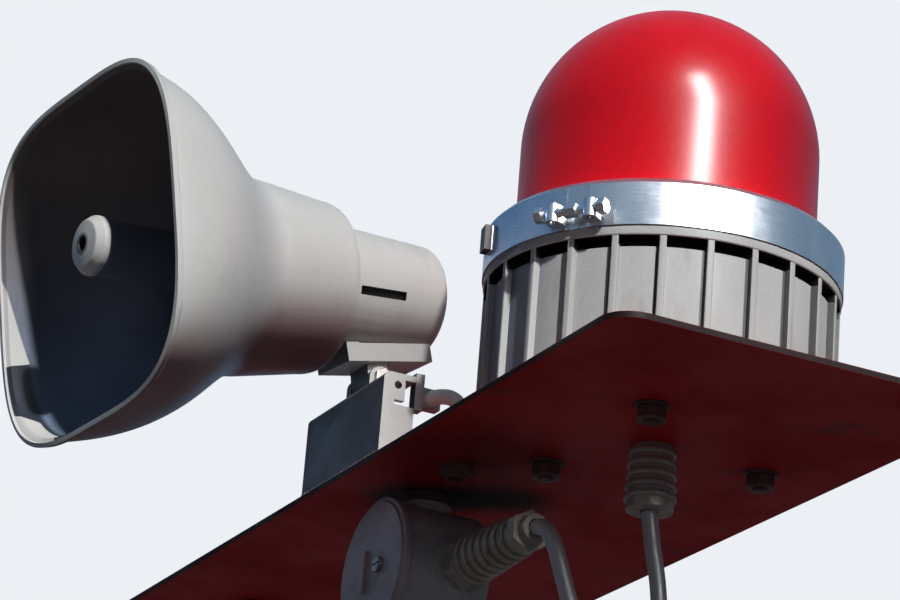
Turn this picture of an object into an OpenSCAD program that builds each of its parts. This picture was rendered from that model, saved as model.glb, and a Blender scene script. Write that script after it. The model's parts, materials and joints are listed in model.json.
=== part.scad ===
// Head of a civil-defence siren tower: a long steel deck that carries a round
// warning beacon at one end and a loudspeaker horn on a stand beside it, with a
// junction box, glands and a looped cable hung below. Millimetres, Z up. The
// origin is the middle of the seat where the deck bolts to its mast; X runs
// along the deck to the beacon and the horn faces -Y.

/* [Deck] */
// Thickness of the steel deck
deck_t = 4; // [3:1:10]
// Width of the deck
deck_w = 254; // [250:2:320]
// Deck beyond the middle of the mast seat
deck_back = 75; // [70:1:120]
// Deck beyond the middle of the beacon
deck_front = 185; // [130:1:260]
// Corner radius of the deck
deck_corner_r = 20; // [5:1:50]
// Mast seat to the middle of the beacon
seat_to_beacon = 530; // [500:5:700]
// Mast seat to the middle of the horn stand
seat_to_horn = 352; // [336:1:361]
// Spacing of the four mast bolts
mast_pitch = 90; // [60:5:110]
// Hole for a mast bolt
mast_hole_d = 13; // [9:1:18]
// Thickness of the seat plate welded under the deck
pad_t = 6; // [4:1:12]

/* [Beacon] */
// Radius over the fins of the base
base_r = 110; // [104:1:120]
// Height of the base
base_h = 96; // [60:1:140]
// Depth of a fin
fin_depth = 5; // [3:0.5:9]
// Thickness of a fin
fin_t = 4.5; // [3:0.5:8]
// Number of fins
fin_count = 24; // [12:1:30]
// Direction of the first fin
fin_turn = 1; // [-6:0.5:6]
// Wall of the cast base
base_wall = 12; // [11:1:14]
// Height of the slots under the base's rim
slot_h = 5.5; // [3:0.5:10]
// Rim between the slots and the clamp band
rim_h = 6; // [3:0.5:8]
// Thickness of the foot under the fins
base_foot_t = 8; // [5:1:14]
// Height of the clamp band
band_h = 31; // [28:1:50]
// Thickness of the clamp band
band_t = 2; // [1.5:0.5:4]
// Outside radius of the dome
dome_r = 93; // [80:1:96]
// Straight wall of the dome above the band
dome_wall_h = 59; // [20:1:100]
// Thickness of the dome
dome_t = 4; // [3:0.5:6]
// Direction of the clamp screw round the band
clamp_turn = -57; // [-180:1:180]
// Space between the two loops at the band's ends
clamp_space = 15; // [10:1:24]
// Direction of the small catch round the band
catch_turn = -101; // [-160:1:-80]
// Circle of the three holding-down studs
stud_circle_r = 76; // [60:1:82]
// Diameter of a stud
stud_d = 10; // [6:1:12]

/* [Horn] */
// Half the width of the square mouth
mouth_r = 110; // [92:1:120]
// Squareness of the mouth, 2 for a circle
mouth_power = 3.6; // [2:0.2:8]
// Radius of the neck behind the flare
neck_r = 63; // [58:1:72]
// Length of the flare
flare_len = 112; // [80:1:120]
// Mouth to the back wall of the bell
bell_len = 168; // [150:1:172]
// Wall of the moulded bell
bell_wall = 3; // [2:0.5:5]
// Radius of the driver cover where it meets the bell
driver_r = 43; // [38:1:47]
// Length of the driver cover
driver_len = 81; // [64:1:100]
// Radius of the inner horn
core_r = 18; // [14:1:28]
// Upward lean of the inner horn inside the bell
core_lean = 2.4; // [0:0.2:3.6]
// Back wall of the bell forward of the tilt pivot
back_z = 39; // [34:1:50]
// Downward tilt of the horn
horn_tilt = 8.8; // [0:0.2:20]
// Turn of the horn on its foot towards the beacon end
horn_turn = 8.4; // [-10:0.2:10]
// Lean of the square mouth about the horn's own axis
mouth_lean = 2; // [-5:0.5:5]

/* [Horn stand] */
// Length of the stand along the deck
stand_len = 116; // [90:1:140]
// Middle of the stand beyond the horn's, away from the beacon
stand_shift = 4; // [0:1:11]
// Depth of the stand across the deck
stand_depth = 22; // [18:1:30]
// Height of the stand
stand_h = 54; // [40:1:90]
// Thickness of the folded sheet
stand_t = 4; // [3:0.5:6]
// Gap between the stand and the deck's edge
stand_inset = 1; // [0:1:10]
// Width of the foot rail under the driver
rail_w = 36; // [28:1:50]
// Height of the foot rail
rail_h = 12; // [11:1:16]
// Length of the foot rail
rail_len = 65; // [50:1:72]
// Rise of the rail towards its back, along the driver's taper
rail_pitch = 6; // [0:0.5:8]
// How deep the front of the driver sits in the rail
rail_sink = 6; // [5:0.5:7]
// Space between the bell's back and the rail
rail_space = 12; // [6:1:14]
// Diameter of the tilt pivot bolt
pivot_d = 6; // [5:1:8]

/* [Cabling] */
// Diameter of the cable
cable_d = 10; // [8:0.5:11]
// Length of the gland under the beacon
gland_len = 41; // [34:1:60]
// Diameter over the gland's rings
gland_d = 33; // [28:1:40]
// Radius of the junction box
box_r = 45; // [38:1:52]
// Depth of the junction box behind its lid
box_depth = 56; // [48:1:70]
// Thickness of the box lid
lid_t = 6; // [4:1:10]
// Space between the deck and the box
box_drop = 11; // [8:1:20]
// Middle of the box beyond the horn's, towards the beacon
box_shift = 4; // [0:1:8]
// Middle of the box from the deck's centre line
box_y = -68; // [-76:1:-60]
// Length of the gland on the box
box_gland_len = 97; // [80:1:106]

/* [Hidden] */
$fn = 96;

gap = 0.3;
deck_top = deck_t;
base_z = deck_top;
base_top = base_z + base_h;
band_top = base_top + band_h;
band_r = base_r + 1;
flange_r = base_r - band_t - 1;
flange_t = 10;
core_wall_r = base_r - fin_depth;
fin_span = 360 / fin_count;
nut_af = 1.7 * stud_d;

horn_x = seat_to_horn;
stand_y0 = -deck_w / 2 + stand_inset;
stand_top = deck_top + stand_h;
stand_x = horn_x - stand_shift;
box_x = horn_x + box_shift;
pivot_y = stand_y0 + 14;
ear_rise = 8;
pivot_z = stand_top + ear_rise;
ear_r = 8;
ear_t = 4;
lug_w = 26;
rail_z = 11.5;
axis_rise = rail_z + rail_h + driver_r - rail_sink;
mouth_reach = back_z + bell_len;
pad_w = mast_pitch + 3 * mast_hole_d;
through = 400;

// --- helpers ---
module hex(af, h) { cylinder(d = af / cos(30), h = h, $fn = 6); }

// everything but the seat plate stands on the seat plate
module lift() { translate([0, 0, pad_t]) children(); }

module at_beacon() { translate([seat_to_beacon, 0, 0]) children(); }

module ring_of(count, r, start = 0) {
  for (i = [0 : count - 1]) rotate([0, 0, start + i * 360 / count]) translate([r, 0, 0]) children();
}

// puts a piece on the horn's axis: local Z points out of the mouth, Y is up
module on_horn() {
  translate([horn_x, pivot_y, pivot_z]) rotate([horn_tilt, 0, 0])
    rotate([0, 0, horn_turn]) translate([0, 0, axis_rise]) rotate([90, 0, 0]) children();
}

// puts a piece on the tilting foot, with the pivot at its origin
module on_foot() { translate([horn_x, pivot_y, pivot_z]) rotate([horn_tilt, 0, 0]) children(); }

// --- deck ---
module deck_outline() {
  r = deck_corner_r;
  x0 = -deck_back + r;
  x1 = seat_to_beacon + deck_front - r;
  y1 = deck_w / 2 - r;
  translate([x0, -y1]) square([x1 - x0, 2 * y1]);
  translate([x0, -deck_w / 2]) square([x1 - x0, deck_w]);
  translate([x0 - r, -y1]) square([x1 - x0 + 2 * r, 2 * y1]);
  for (x = [x0, x1], y = [-y1, y1]) translate([x, y]) circle(r);
}

module deck_plate() {
  color([0.42, 0.08, 0.08]) difference() {
    linear_extrude(deck_t) deck_outline();
    for (x = [-1, 1], y = [-1, 1])
      translate([x * mast_pitch / 2, y * mast_pitch / 2, -1]) cylinder(d = mast_hole_d, h = deck_t + 2);
    at_beacon() {
      translate([0, 0, -1]) cylinder(d = thread_d, h = deck_t + 2);
      ring_of(3, stud_circle_r, 90) translate([0, 0, -1]) cylinder(d = stud_d + 1, h = deck_t + 2);
    }
    translate([box_x, box_y, -1]) cylinder(d = nipple_d + 1, h = deck_t + 2);
    translate([lead_x, lead_out_y, -1]) cylinder(d = lead_thread_d, h = deck_t + 2);
  }
}

module seat_pad() {
  color([0.42, 0.08, 0.08]) difference() {
    translate([-pad_w / 2, -pad_w / 2, 0]) cube([pad_w, pad_w, pad_t]);
    for (x = [-1, 1], y = [-1, 1])
      translate([x * mast_pitch / 2, y * mast_pitch / 2, -1]) cylinder(d = mast_hole_d, h = pad_t + 2);
  }
}

// --- beacon ---
thread_d = 22;
groove_r = core_wall_r - 7;
module beacon_base() {
  fin_z = base_h - rim_h;
  color([0.62, 0.63, 0.62]) at_beacon() translate([0, 0, base_z]) difference() {
    union() {
      cylinder(r = base_r - 0.5, h = base_foot_t);
      cylinder(r = core_wall_r, h = fin_z - slot_h);
      cylinder(r = groove_r, h = base_h);
      translate([0, 0, fin_z]) cylinder(r = base_r, h = rim_h);
      translate([0, 0, base_h - 1]) cylinder(r = flange_r, h = flange_t + 1);
      for (i = [0 : fin_count - 1]) rotate([0, 0, fin_turn + i * fin_span])
        translate([groove_r - 2, -fin_t / 2, 0]) cube([base_r - groove_r + 2 - 0.6, fin_t, fin_z + 1]);
    }
    translate([0, 0, base_foot_t]) cylinder(r = core_wall_r - base_wall, h = base_h + flange_t);
    translate([0, 0, -1]) cylinder(d = thread_d, h = base_foot_t + 2);
    ring_of(3, stud_circle_r, 90) translate([0, 0, -1]) cylinder(d = stud_d + gap, h = base_foot_t + 2);
  }
}

module beacon_studs() {
  color([0.35, 0.33, 0.33]) at_beacon() ring_of(3, stud_circle_r, 90) {
    translate([0, 0, -stud_d * 1.2]) cylinder(d = stud_d, h = stud_d * 1.2 + deck_t + base_foot_t);
    translate([0, 0, base_z + base_foot_t]) hex(nut_af, stud_d * 0.65);
    translate([0, 0, -stud_d * 0.8 - 2]) hex(nut_af, stud_d * 0.8);
    translate([0, 0, -2]) cylinder(d = 2.1 * stud_d, h = 2);
  }
}

// a thin band drawn in at the top; each end is folded back in a loop, one screw pulls the loops
// together, and a thinner tongue covers the gap between them
module band_loop() {
  linear_extrude(loop_h, center = true) difference() {
    union() {
      translate([0, -loop_w / 2]) square([loop_reach - loop_w / 2, loop_w]);
      translate([loop_reach - loop_w / 2, 0]) circle(d = loop_w);
    }
    translate([loop_reach - loop_w / 2, 0]) circle(d = loop_w - 2 * band_t);
  }
}

module clamp_band() {
  color([0.82, 0.84, 0.86]) at_beacon() difference() {
    union() {
      difference() {
        translate([0, 0, base_top]) rotate_extrude() polygon([
          [band_r - band_t, 0], [band_r, 0], [band_r, band_h - 4], [band_r - 4, band_h],
          [dome_r + 2, band_h], [dome_r + 2, band_h - band_t], [band_r - 4 - band_t / 2, band_h - band_t],
          [band_r - band_t, band_h - 5]]);
        rotate([0, 0, clamp_turn]) translate([band_r - band_t / 2, -clamp_space / 2, base_top - 1])
          cube([base_r, clamp_space, band_h + 2]);
      }
      for (s = [-1, 1]) rotate([0, 0, clamp_turn + s * loop_step])
        translate([band_r - band_t, 0, clamp_z]) band_loop();
      rotate([0, 0, catch_turn]) translate([band_r - band_t, -5, base_top + band_h / 2 - 8])
        cube([band_t + 5, 10, 16]);
    }
    rotate([0, 0, clamp_turn]) translate([screw_r, 0, clamp_z])
      rotate([90, 0, 0]) cylinder(d = screw_d + 1, h = through, center = true);
  }
}
screw_d = 5;
loop_w = 9;
loop_h = 11;
loop_reach = band_t + 11;
clamp_z = base_top + band_h * 0.27;
screw_r = band_r + loop_reach - band_t - loop_w / 2;
loop_step = (clamp_space / 2 + loop_w / 2) / band_r * 180 / PI;

module clamp_screw() {
  half = screw_r * sin(loop_step) + loop_w / 2 + 1.5;
  color([0.75, 0.76, 0.78]) at_beacon() rotate([0, 0, clamp_turn])
    translate([screw_r, 0, clamp_z]) rotate([90, 0, 0]) {
      translate([0, 0, -half - 4]) cylinder(d = screw_d, h = 2 * half + 8);
      translate([0, 0, -half - 5]) hex(1.7 * screw_d, 5);
      translate([0, 0, half]) hex(1.7 * screw_d, 5);
      translate([0, 0, -4]) hex(1.5 * screw_d, 8);
    }
}

module dome_gasket() {
  color([0.12, 0.12, 0.12]) at_beacon() translate([0, 0, base_top + flange_t]) difference() {
    cylinder(r = flange_r, h = 4);
    translate([0, 0, -1]) cylinder(r = core_wall_r - base_wall, h = 6);
  }
}

module dome_profile(r, h0) {
  difference() {
    union() {
      translate([0, h0]) circle(r);
      translate([0, 0]) square([r, h0]);
    }
    translate([-2 * r, -r]) square([2 * r, 4 * r]);
    translate([0, -2 * r]) square([2 * r, 2 * r]);
  }
}

module beacon_dome() {
  rim_z = base_top + flange_t + 4;
  rise = band_top + dome_wall_h - rim_z;
  rim_top = band_h - flange_t - 4 - band_t - 1.5;
  color([0.8, 0.05, 0.08]) at_beacon() translate([0, 0, rim_z]) difference() {
    union() {
      rotate_extrude() dome_profile(dome_r, rise);
      rotate_extrude() polygon([[dome_r - 2, 0], [flange_r, 0], [flange_r, rim_top - 5], [flange_r - 5, rim_top],
        [dome_r - 2, rim_top]]);
    }
    translate([0, 0, -0.01]) rotate_extrude() dome_profile(dome_r - dome_t, rise);
  }
}

module lamp_tray() {
  color([0.85, 0.85, 0.85]) at_beacon() translate([0, 0, base_top + flange_t - 3]) difference() {
    cylinder(r = core_wall_r - base_wall - gap, h = 3);
    translate([0, 0, -1]) cylinder(r = lamp_r - 5, h = 5);
  }
}

lamp_r = dome_r / 7;
holder_h = 0.35 * (band_h + dome_wall_h);
lamp_len = 0.62 * (band_h + dome_wall_h);
module lamp_holder() {
  color([0.9, 0.9, 0.88]) at_beacon() translate([0, 0, base_top + flange_t]) {
    cylinder(r = 1.8 * lamp_r, h = holder_h / 3);
    cylinder(r = 1.3 * lamp_r, h = holder_h);
  }
}

module lamp_tube() {
  color([0.95, 0.9, 0.85]) at_beacon() translate([0, 0, base_top + flange_t + holder_h]) {
    cylinder(r = lamp_r, h = lamp_len);
    translate([0, 0, lamp_len]) sphere(r = lamp_r);
  }
}

// --- glands ---
// a ringed sleeve that goes from d1 to d2 along its length, with its rings proud of it
module gland_sleeve(d1, d2, len, rings, bore) {
  pitch = (len - 6) / rings;
  difference() {
    union() {
      cylinder(d1 = d1 - 4, d2 = d2 - 4, h = len);
      for (k = [0 : rings - 1]) let (w = (3 + k * pitch) / len)
        translate([0, 0, 3 + k * pitch]) cylinder(d = d1 + (d2 - d1) * w, h = pitch * 0.55);
    }
    translate([0, 0, -1]) cylinder(d = bore, h = len + 2);
  }
}

module beacon_gland() {
  color([0.3, 0.3, 0.3]) at_beacon() {
    rotate([180, 0, 0]) gland_sleeve(gland_d - 4, gland_d, gland_len, 5, cable_d + 0.6);
    difference() {
      cylinder(d = thread_d - 0.4, h = deck_t + base_foot_t + 10);
      translate([0, 0, -1]) cylinder(d = cable_d + 0.6, h = deck_t + base_foot_t + 12);
    }
  }
}

module beacon_gland_nut() {
  color([0.5, 0.5, 0.5]) at_beacon() translate([0, 0, deck_top + base_foot_t]) difference() {
    hex(thread_d + 8, 6);
    translate([0, 0, -1]) cylinder(d = thread_d, h = 8);
  }
}

// --- junction box ---
nipple_d = 20;
box_z = -box_drop - box_r;
box_face_y = box_y - box_depth / 2;

module at_box() { translate([box_x, box_y, box_z]) children(); }

gland_back = box_depth / 7;

module junction_box() {
  color([0.33, 0.33, 0.34]) at_box() difference() {
    union() {
      rotate([90, 0, 0]) translate([0, 0, -box_depth / 2]) cylinder(r = box_r, h = box_depth);
      translate([0, gland_back, 0]) rotate([0, 90, 0]) cylinder(d = thread_d + 14, h = box_r + 3);
      cylinder(d = nipple_d + 14, h = box_r + 3);
    }
    rotate([90, 0, 0]) translate([0, 0, -box_depth / 2 + 4]) cylinder(r = box_r - 4, h = box_depth);
    translate([0, gland_back, 0]) rotate([0, 90, 0]) cylinder(d = thread_d, h = box_r + 5);
    cylinder(d = nipple_d, h = box_r + 5);
  }
}

module box_nipple() {
  color([0.55, 0.55, 0.56]) translate([box_x, box_y, 0]) difference() {
    union() {
      translate([0, 0, -box_drop - 6]) cylinder(d = nipple_d - gap, h = box_drop + 6 + deck_t + 9);
      translate([0, 0, -box_drop + 3]) cylinder(d = 27, h = box_drop - 3);
      translate([0, 0, deck_top]) hex(29, 6);
    }
    translate([0, 0, -box_drop - 8]) cylinder(d = nipple_d - 6, h = box_drop + deck_t + 30);
  }
}

lid_screw_x = 13;
module box_lid() {
  color([0.42, 0.42, 0.45]) at_box() rotate([90, 0, 0]) translate([0, 0, box_depth / 2]) difference() {
    union() {
      cylinder(r = box_r + 2, h = lid_t - 2);
      cylinder(r = box_r - 1, h = lid_t);
      translate([-8, -15, 0]) cube([4, 28, lid_t + 3]);
    }
    translate([lid_screw_x, 0, -1]) cylinder(d = 6, h = lid_t + 2);
  }
}

module box_lid_screw() {
  color([0.2, 0.2, 0.2]) at_box() rotate([90, 0, 0]) translate([lid_screw_x, 0, box_depth / 2]) difference() {
    union() {
      translate([0, 0, -10]) cylinder(d = 6 - gap, h = 10 + lid_t);
      translate([0, 0, lid_t]) cylinder(d = 10, h = 3);
    }
    translate([-7, -0.8, lid_t + 1.5]) cube([14, 1.6, 2]);
  }
}

sleeve_len = box_gland_len - 28;
module at_box_gland() { at_box() translate([0, gland_back, 0]) rotate([0, 90, 0]) children(); }

module box_gland() {
  color([0.36, 0.36, 0.37]) at_box_gland() {
    difference() {
      translate([0, 0, box_r + 3]) hex(gland_d - 4, 12);
      translate([0, 0, box_r]) cylinder(d = cable_d + 0.6, h = 30);
    }
    translate([0, 0, box_r + 15]) gland_sleeve(gland_d, gland_d - 8, sleeve_len, 7, cable_d + 0.6);
    difference() {
      translate([0, 0, box_r - 8]) cylinder(d = thread_d - 0.4, h = 11.5);
      translate([0, 0, box_r - 10]) cylinder(d = cable_d + 0.6, h = 15);
    }
  }
}

module box_gland_nut() {
  color([0.3, 0.3, 0.31]) at_box_gland() translate([0, 0, box_r + 15 + sleeve_len]) difference() {
    union() {
      hex(0.72 * gland_d, 9);
      cylinder(d = cable_d + 8, h = 16);
    }
    translate([0, 0, -1]) cylinder(d = cable_d + 0.6, h = 20);
  }
}

// --- looped cable, from the box gland's mouth down and up into the beacon's gland ---
cable_from = box_x + box_r + 3 + box_gland_len;
route = [[0, 0, 0], [9, 0, -2], [17, 1, -9], [23, 3, -21], [28, 6, -38], [33, 10, -56], [38, 18, -75],
  [41, 32, -90], [40, 49, -91], [37, 62, -78], [34, 68, -56], [32, 67, -30], [30, 63, -6], [29, 60, 15]];
cable_end = [seat_to_beacon, 0, -gland_len];
cable_start = [cable_from, box_y + gland_back, box_z];
function route_at(k) = let (p = route[k], last = route[len(route) - 1], w = k / (len(route) - 1))
  cable_start + p + w * (cable_end - cable_start - last);
function catmull(a, b, c, d, t) = 0.5 * (2 * b + (c - a) * t + (2 * a - 5 * b + 4 * c - d) * t * t
  + (3 * b - a - 3 * c + d) * t * t * t);
path_steps = 3;
function path() = let (n = len(route)) concat(
  [for (k = [0 : n - 2], j = [0 : path_steps - 1])
    catmull(route_at(max(k - 1, 0)), route_at(k), route_at(k + 1), route_at(min(k + 2, n - 1)), j / path_steps)],
  [route_at(n - 1)]);
function unit(v) = v / norm(v);

module tube(p, r, sides) {
  n = len(p);
  dirs = [for (i = [0 : n - 1]) i == 0 ? [1, 0, 0] : i == n - 1 ? [0, 0, 1] : unit(p[i + 1] - p[i - 1])];
  side = [for (i = [0 : n - 1]) unit(cross(dirs[i], [-0.8, 0.6, 0]))];
  pts = [for (i = [0 : n - 1], k = [0 : sides - 1])
    let (a = side[i], b = cross(dirs[i], a), t = k * 360 / sides) p[i] + r * (cos(t) * a + sin(t) * b)];
  polyhedron(pts, concat(
    [[for (k = [0 : sides - 1]) k]],
    [for (i = [0 : n - 2], k = [0 : sides - 1]) let (a = i * sides, c = (k + 1) % sides)
      [a + k, a + sides + k, a + sides + c, a + c]],
    [[for (k = [sides - 1 : -1 : 0]) (n - 1) * sides + k]]));
}

module loop_cable() { color([0.7, 0.7, 0.68]) tube(path(), cable_d / 2, 10); }

// --- stand: folded from sheet with a round top edge, open at the back, welded down ---
fold_r = 5;
notch_z = stand_h - 18;
module stand_section(inset) {
  r = max(0.5, fold_r - inset);
  w = stand_depth + 2 * inset;
  h = stand_h - 2 * inset;
  translate([inset, inset]) {
    translate([r, 0]) square([w - r, h]);
    square([w, h - r]);
    translate([r, h - r]) circle(r);
  }
}

module stand_channel() {
  t = stand_t;
  color([0.72, 0.72, 0.7]) difference() {
    translate([stand_x - stand_len / 2, stand_y0, deck_top]) difference() {
      rotate([90, 0, 90]) linear_extrude(stand_len) stand_section(0);
      translate([t, 0, 0]) rotate([90, 0, 90]) linear_extrude(stand_len - 2 * t) stand_section(t);
      translate([stand_len - 2 * t, stand_depth - 7, notch_z]) cube([4 * t, stand_depth, stand_h - notch_z - t]);
      translate([stand_len - 2 * t, stand_depth - 14, notch_z - 3]) cube([4 * t, stand_depth, 3.01]);
      translate([stand_len - 2 * t, stand_depth - 12, stand_h - t - 4]) rotate([0, 90, 0]) cylinder(d = 5, h = 4 * t);
    }
  }
}

module stand_head() {
  w = lug_w / 2 + 0.5;
  color([0.68, 0.68, 0.66]) translate([horn_x, pivot_y, 0]) difference() {
    union() for (s = [-1, 1]) translate([s > 0 ? w : -w - ear_t, 0, 0]) {
      translate([0, 0, pivot_z]) rotate([0, 90, 0]) cylinder(r = ear_r, h = ear_t);
      translate([0, -ear_r, stand_top]) cube([ear_t, 2 * ear_r, ear_rise]);
    }
    translate([-through / 2, 0, pivot_z]) rotate([0, 90, 0]) cylinder(d = pivot_d, h = through);
  }
}

// --- horn lead: out of a clamp block behind the stand, round towards the back, down through the deck ---
lead_d = cable_d;
lead_thread_d = 14;
lead_bend = 10.5;
lead_swing = 60;
lead_nut = 19;
lead_z = deck_top + stand_h * 0.775;
block_w = 8;
strip_depth = 6;
block_depth = strip_depth + lead_d + 2;
lead_y = stand_y0 + stand_depth + strip_depth + lead_d / 2 + 0.5;
block_x = stand_x + stand_len / 2 - block_w;
swing_x = block_x + block_w + lead_bend * sin(lead_swing);
swing_y = lead_y + lead_bend * (1 - cos(lead_swing));
lead_x = swing_x + lead_bend * cos(lead_swing);
lead_out_y = swing_y + lead_bend * sin(lead_swing);

module lead_block() {
  color([0.75, 0.75, 0.72]) difference() {
    union() {
      translate([block_x, stand_y0 + stand_depth, deck_top + stand_h * 0.6]) cube([block_w, strip_depth, stand_h * 0.45]);
      translate([block_x, stand_y0 + stand_depth, lead_z - lead_d / 2 - 1.5]) cube([block_w, block_depth, lead_d + 3]);
    }
    translate([block_x - 1, lead_y, lead_z]) rotate([0, 90, 0]) cylinder(d = lead_d, h = block_w + 2);
  }
}

module lead_turn(angle) { rotate_extrude(angle = angle) translate([lead_bend, 0]) circle(d = lead_d - 0.2); }

module horn_lead() {
  color([0.8, 0.8, 0.76]) {
    translate([block_x - 4, lead_y, lead_z]) rotate([0, 90, 0]) cylinder(d = lead_d - 0.2, h = block_w + 4);
    translate([block_x + block_w, lead_y + lead_bend, lead_z]) rotate([0, 0, -90]) lead_turn(lead_swing);
    translate([swing_x, swing_y, lead_z - lead_bend]) rotate([0, 0, lead_swing]) rotate([90, 0, 0]) lead_turn(90);
    translate([lead_x, lead_out_y, deck_top - 6]) cylinder(d = lead_d - 0.2, h = lead_z - lead_bend - deck_top + 6);
  }
}

module lead_gland() {
  color([0.4, 0.4, 0.4]) translate([lead_x, lead_out_y, 0]) difference() {
    union() {
      translate([0, 0, -8]) cylinder(d = lead_thread_d - 0.4, h = deck_t + 8);
      translate([0, 0, deck_top]) hex(lead_nut, 4);
      translate([0, 0, deck_top + 4]) cylinder(d = lead_thread_d + 2, h = 4);
      translate([0, 0, -5]) hex(lead_nut, 5);
    }
    translate([0, 0, -through / 2]) cylinder(d = lead_d, h = through);
  }
}

// --- horn ---
// bowl-shaped flare into a plain neck, then a cup that tapers to its rounded back
lip = 2.5;
cup_taper = 7;
back_round = 7;
cup_end = bell_len - back_round;
function flare(u) = neck_r + (mouth_r - lip - neck_r) * pow(1 - pow(u, 3.1), 2.4);
function bell_r(s) = s < flare_len ? flare(s / flare_len)
  : neck_r - cup_taper * (min(s, cup_end) - flare_len) / (cup_end - flare_len);
function shoulder(s) = let (b = max(0, s - cup_end)) b * b * 0.03;
function power_at(s) = 2 + (mouth_power - 2) * pow(max(0, 1 - s / flare_len), 2.8);
function super_pt(r, n, a) = let (c = cos(a), d = sin(a))
  [r * sign(c) * pow(abs(c), 2 / n), r * sign(d) * pow(abs(d), 2 / n)];
around = 48;
stations = [for (k = [0 : 9]) 5 + (flare_len - 5) * k / 10];
cup = [for (k = [0 : 3]) flare_len + (cup_end - flare_len) * k / 4];
back = [for (k = [0 : 3]) cup_end + back_round * k / 3];
outer_s = concat(stations, cup, back);
function bell_rings() = concat(
  [[mouth_r, 0, mouth_power], [mouth_r, 4, power_at(4)]],
  [for (s = outer_s) [bell_r(s) - shoulder(s), s, power_at(s)]],
  [[core_r + gap, bell_len, 2], [core_r + gap, bell_len - bell_wall, 2]],
  [for (i = [len(outer_s) - 2 : -1 : 0]) let (s = outer_s[i]) [bell_r(s) - bell_wall - shoulder(s),
    s - (i > len(outer_s) - 4 ? bell_wall / 2 : 0), power_at(s)]],
  [[mouth_r - lip - 1, 0, mouth_power]]);

module horn_bell() {
  rings = bell_rings();
  m = len(rings);
  pts = [for (g = rings, k = [0 : around - 1]) let (q = super_pt(g[0], g[2], (k + 0.5) * 360 / around))
    [q[0], q[1], mouth_reach - g[1]]];
  faces = [for (i = [0 : m - 1], k = [0 : around - 1]) let (a = i * around, b = ((i + 1) % m) * around,
    c = (k + 1) % around) [a + k, a + c, b + c, b + k]];
  color([0.75, 0.75, 0.73]) on_horn() rotate([0, 0, mouth_lean]) polyhedron(pts, faces);
}

// puts a piece on the inner horn's axis, from where it stands in the bell's back
module on_core() {
  on_horn() translate([0, 0, back_z + bell_wall / 2]) rotate([-core_lean, 0, 0])
    translate([0, 0, core_r * sin(core_lean) + 0.05 - bell_wall / 2]) children();
}

module horn_core() {
  color([0.15, 0.15, 0.17]) on_core() rotate_extrude() polygon([
    [0, 0], [core_r, 0], [core_r, bell_len - 12], [core_r - 2, bell_len - 10], [0, bell_len - 10]]);
}

module core_cap() {
  color([0.8, 0.8, 0.8]) on_core() translate([0, 0, bell_len - 10]) difference() {
    rotate_extrude() polygon([[0, 0], [core_r + 1, 0], [core_r + 1, 4], [core_r - 3, 9], [0, 11]]);
    translate([0, 0, 3]) cylinder(d = 9, h = 10);
  }
}

tail_r = 0.865 * driver_r;
tail_round = 5.6;
function driver_at(s) = let (w = min(1, max(0, (s - 5) / (driver_len - tail_round - 5))))
  driver_r - (driver_r - tail_r) * w;
module driver_form(grow = 0) {
  rotate_extrude() polygon(concat([[0, 0]],
    [[driver_r + grow, 0]],
    [for (k = [0 : 4]) let (s = 5 + (driver_len - tail_round - 5) * k / 4) [driver_at(s) + grow, s]],
    [for (a = [15 : 15 : 90]) [tail_r - tail_round + tail_round * cos(a) + grow, driver_len - tail_round + tail_round * sin(a)]],
    [[0, driver_len]]));
}

module driver_cover() {
  color([0.68, 0.68, 0.65]) on_horn() translate([0, 0, back_z]) rotate([180, 0, 0]) difference() {
    driver_form();
    rotate([0, 0, 16]) translate([0.82 * driver_r, -2.8, 9]) cube([driver_r, 5.6, 0.45 * driver_len]);
  }
}

module on_rail() {
  on_foot() rotate([0, 0, horn_turn]) translate([0, 0, rail_z]) rotate([rail_pitch, 0, 0]) children();
}

swivel_d = 8;
rail_front = back_z - rail_space;
swivel_seat = rail_h - rail_sink - 2.5;
module foot_rail() {
  color([0.86, 0.86, 0.82]) difference() {
    on_rail() {
      translate([-rail_w / 2, -rail_front, 0]) cube([rail_w, rail_len, rail_h]);
      translate([-rail_w / 2, -rail_front, 0]) cube([rail_w, 10, rail_h + 8]);
    }
    on_horn() translate([0, 0, back_z]) rotate([180, 0, 0]) driver_form(gap / 2);
    on_rail() translate([0, 0, -1]) cylinder(d = swivel_d + 0.4, h = rail_h + 2);
    on_rail() translate([0, 0, swivel_seat]) cylinder(d = 2 * swivel_d, h = rail_h);
  }
}

module foot_lug() {
  color([0.7, 0.7, 0.68]) difference() {
    union() {
      on_foot() rotate([0, 90, 0]) translate([0, 0, -lug_w / 2]) cylinder(r = ear_r - 1, h = lug_w);
      difference() {
        on_foot() translate([-lug_w / 2, -ear_r + 1, 0]) cube([lug_w, 2 * ear_r - 2, rail_z + 5]);
        on_rail() translate([-rail_len, -rail_len, 0]) cube([2 * rail_len, 2 * rail_len, rail_z + rail_h]);
      }
      on_rail() translate([0, 0, -4]) cylinder(d = swivel_d, h = swivel_seat + 6);
      on_rail() translate([0, 0, swivel_seat]) hex(1.5 * swivel_d, 4);
    }
    on_foot() rotate([0, 90, 0]) translate([0, 0, -lug_w]) cylinder(d = pivot_d + 0.3, h = 2 * lug_w);
  }
}

module pivot_bolt() {
  reach = lug_w / 2 + 0.5 + ear_t;
  color([0.6, 0.6, 0.6]) translate([horn_x, pivot_y, pivot_z]) rotate([0, 90, 0]) {
    translate([0, 0, -reach - 6]) cylinder(d = pivot_d, h = 2 * reach + 6);
    translate([0, 0, reach]) hex(10, 4);
    translate([0, 0, -reach - 5]) hex(10, 5);
  }
}

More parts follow.
